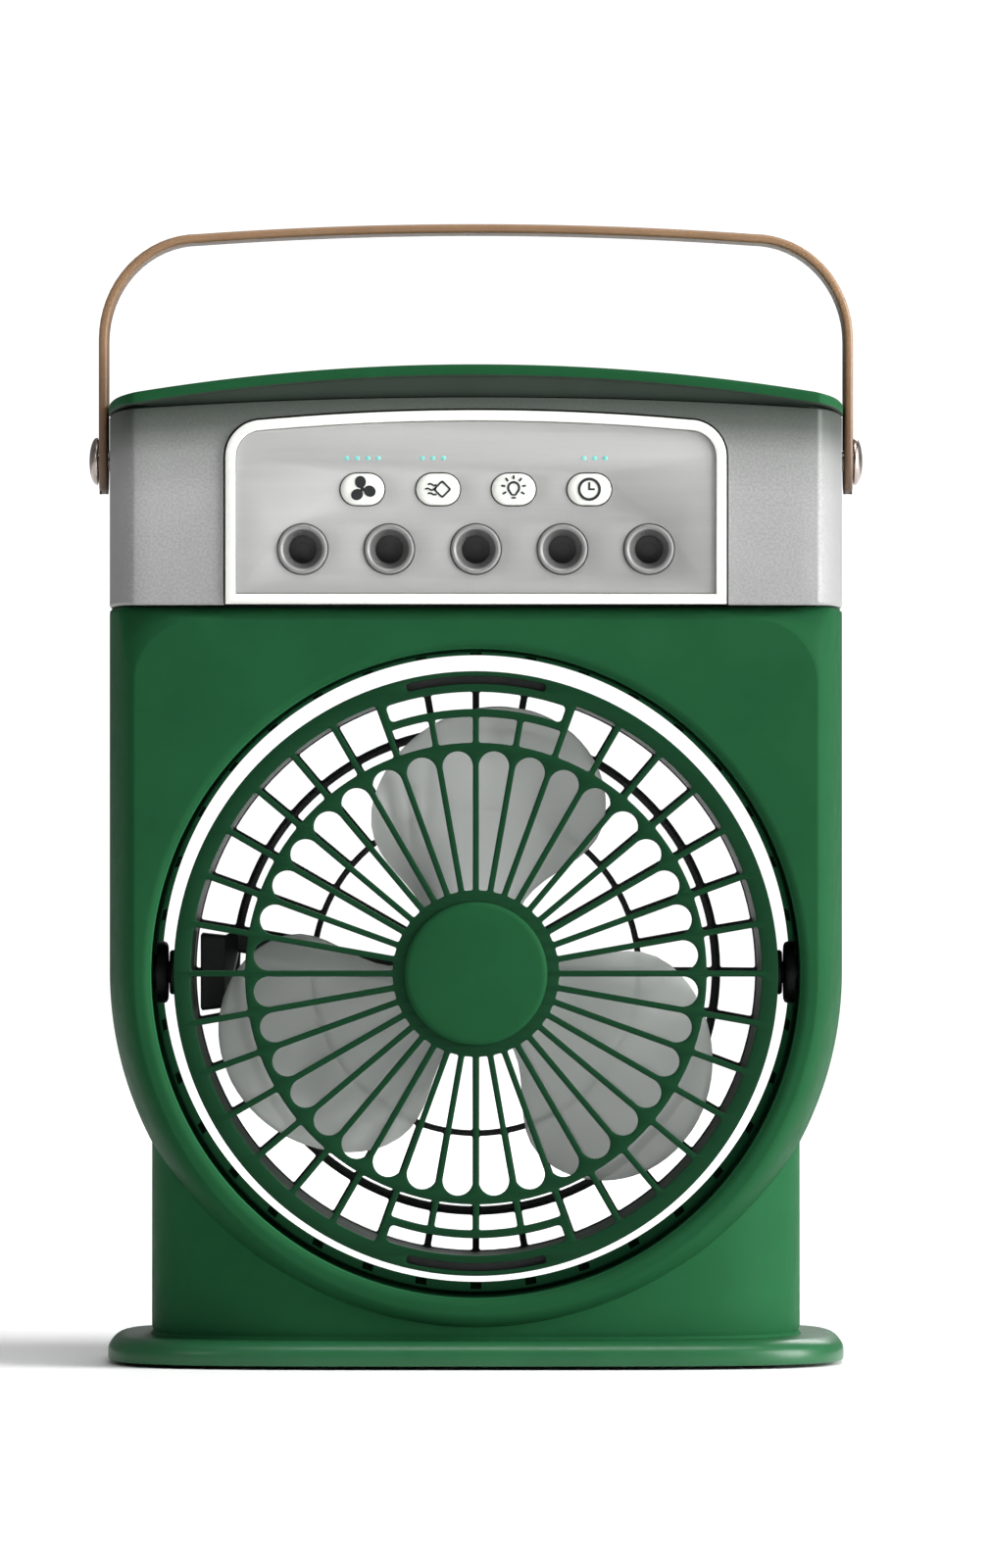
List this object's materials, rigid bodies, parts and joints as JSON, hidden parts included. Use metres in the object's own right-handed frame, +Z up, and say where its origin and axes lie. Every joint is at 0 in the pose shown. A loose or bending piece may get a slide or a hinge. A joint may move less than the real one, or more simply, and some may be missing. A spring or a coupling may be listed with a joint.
{
  "type": "portable mist desk fan",
  "caption": "Portable desk fan with a tilting round fan head in a barrel body, a frosted water tank with mist nozzles and touch buttons, an arched lid with a filler hatch and a strap handle.",
  "frame": {"origin": "on the surface it stands on, under the middle of the foot", "axes": "+Z up, -Y towards the user in front of the fan, +X to the user's right"},
  "size_m": [0.1794, 0.104, 0.2632],
  "materials": {
    "green_plastic": "satin moulded plastic, deep green",
    "black_plastic": "fine matt texture",
    "rubber": "soft matt",
    "frosted_plastic": "frosted translucent grey",
    "silver_plate": "fine satin silver",
    "white_plastic": "semi-gloss white",
    "steel": "fine turned steel",
    "strap_leather": "smooth tan leather with painted edges",
    "blade_plastic": "smoky translucent grey",
    "circuit_board": "solder mask",
    "cotton": "pressed cotton"
  },
  "bodies": {
    "housing": {"base_plate": "green_plastic", "pedestal": "green_plastic", "front_shell": "green_plastic", "rear_shell": "green_plastic", "tank_lid": "green_plastic", "rubber_foot_1": "rubber", "rubber_foot_2": "rubber", "rubber_foot_3": "rubber", "rubber_foot_4": "rubber", "base_screw_1": "steel", "base_screw_2": "steel", "base_screw_3": "steel", "base_screw_4": "steel", "shell_screw_left": "steel", "shell_screw_right": "steel", "usb_socket": "steel", "hatch_hinge_pin": "steel", "handle_rivet_left": "steel", "handle_rivet_right": "steel", "atomiser_disc_1": "steel", "atomiser_disc_2": "steel", "atomiser_disc_3": "steel", "atomiser_disc_4": "steel", "atomiser_disc_5": "steel", "pivot_bush_left": "black_plastic", "pivot_bush_right": "black_plastic", "power_board": "circuit_board", "light_board": "circuit_board", "control_board": "circuit_board", "water_tank": "frosted_plastic", "panel_frame": "white_plastic", "panel_plate": "silver_plate", "mist_nozzle_1": "silver_plate", "mist_nozzle_2": "silver_plate", "mist_nozzle_3": "silver_plate", "mist_nozzle_4": "silver_plate", "mist_nozzle_5": "silver_plate", "wick_1": "cotton", "wick_2": "cotton", "wick_3": "cotton", "wick_4": "cotton", "wick_5": "cotton"},
    "fan_head": {"front_grille": "green_plastic", "hub_cap": "green_plastic", "head_duct": "green_plastic", "rear_guard": "black_plastic", "lead_duct": "black_plastic", "pivot_pin_left": "black_plastic", "pivot_pin_right": "black_plastic", "motor": "steel"},
    "rotor": {"impeller": "blade_plastic", "motor_shaft": "steel"},
    "handle": {"handle_strap": "strap_leather"},
    "hatch": {"filler_hatch": "green_plastic"},
    "button_fan_cap": {"button_fan": "white_plastic"},
    "button_mist_cap": {"button_mist": "white_plastic"},
    "button_light_cap": {"button_light": "white_plastic"},
    "button_timer_cap": {"button_timer": "white_plastic"}
  },
  "joints": [
    {"name": "head_tilt", "type": "hinge", "parent": "housing", "child": "fan_head", "pos_m": [0, -0.0225, 0.0902], "axis": [1, 0, 0], "range_deg": [-30, 30]},
    {"name": "blade_spin", "type": "hinge", "parent": "fan_head", "child": "rotor", "pos_m": [0, -0.03, 0.0902], "axis": [0, 1, 0], "continuous": true},
    {"name": "handle_swing", "type": "hinge", "parent": "housing", "child": "handle", "pos_m": [0, 0, 0.2085], "axis": [1, 0, 0], "range_deg": [-57, 57]},
    {"name": "hatch_open", "type": "hinge", "parent": "housing", "child": "hatch", "pos_m": [0, 0.0245, 0.2294], "axis": [-1, 0, 0], "range_deg": [0, 100]},
    {"name": "fan_button_press", "type": "slide", "parent": "housing", "child": "button_fan_cap", "axis": [0, 1, 0], "range_m": [0, 0.0007], "stiffness_N_per_m": 400},
    {"name": "mist_button_press", "type": "slide", "parent": "housing", "child": "button_mist_cap", "axis": [0, 1, 0], "range_m": [0, 0.0007], "stiffness_N_per_m": 400},
    {"name": "light_button_press", "type": "slide", "parent": "housing", "child": "button_light_cap", "axis": [0, 1, 0], "range_m": [0, 0.0007], "stiffness_N_per_m": 400},
    {"name": "timer_button_press", "type": "slide", "parent": "housing", "child": "button_timer_cap", "axis": [0, 1, 0], "range_m": [0, 0.0007], "stiffness_N_per_m": 400}
  ]
}
